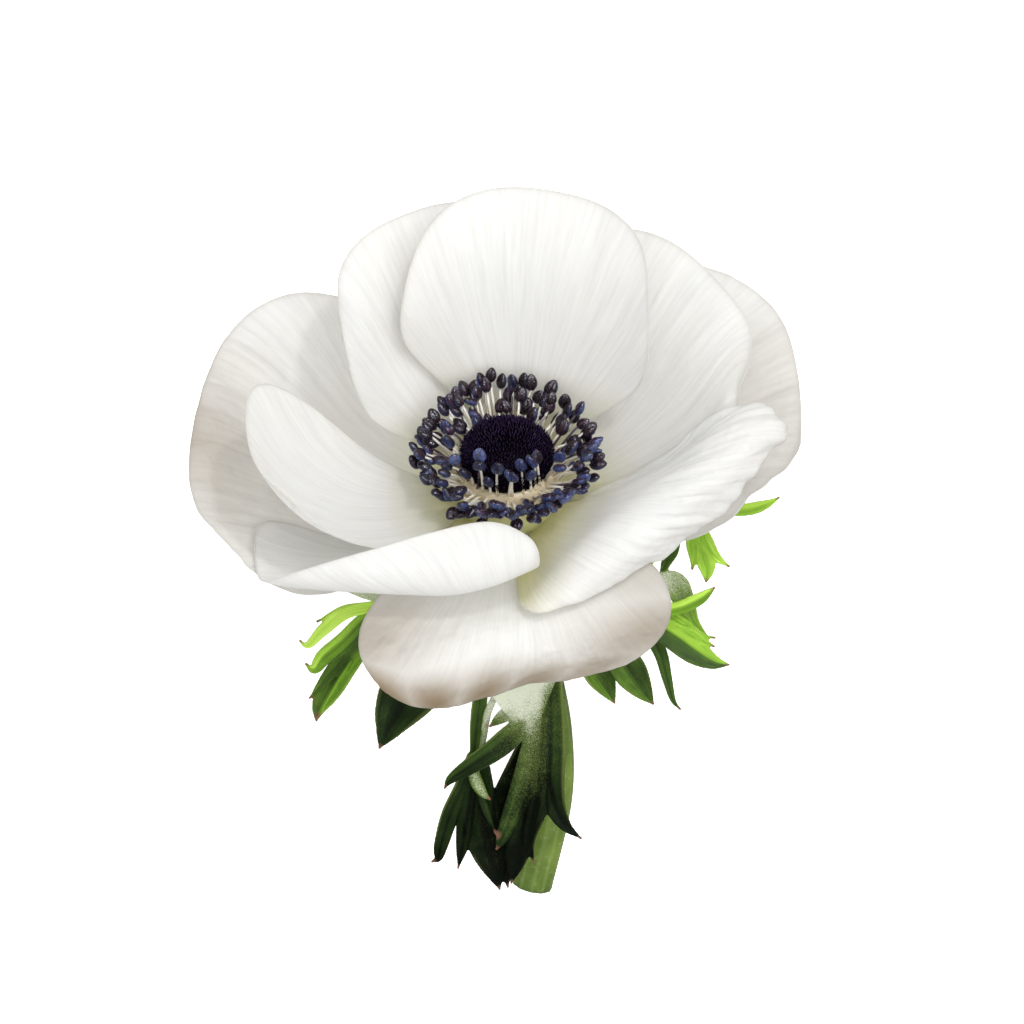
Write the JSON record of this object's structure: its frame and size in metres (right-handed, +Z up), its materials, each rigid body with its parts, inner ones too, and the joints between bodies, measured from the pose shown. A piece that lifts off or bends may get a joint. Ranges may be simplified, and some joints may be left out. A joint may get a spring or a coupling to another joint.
{
  "type": "anemone flower",
  "caption": "White anemone bloom with overlapping petals, a navy stamen ring, a dark domed centre and divided green bracts on a short cut stem.",
  "frame": {"origin": "middle of the lying flower's footprint, on the surface it lies on", "axes": "+Z up from the surface, -Y towards the cut end of the stem, +Y towards the back petal's tip, X across the bloom"},
  "size_m": [0.0838, 0.1086, 0.048],
  "materials": {
    "petal": "soft white petal, slightly translucent",
    "stamen": "velvety navy",
    "pistil": "velvety purple-black",
    "bract": "waxy leaf green",
    "stem": "downy yellow-green"
  },
  "bodies": {
    "root": {"petal_back": "petal", "petal_back_left": "petal", "petal_left": "petal", "petal_front_left": "petal", "petal_right_front": "petal", "petal_back_right": "petal", "petal_left_outer": "petal", "petal_right_outer": "petal", "petal_front": "petal", "pistil": "pistil", "stamens": "stamen", "bract_left": "bract", "bract_right": "bract", "bract_front": "bract", "stem": "stem"}
  },
  "joints": []
}
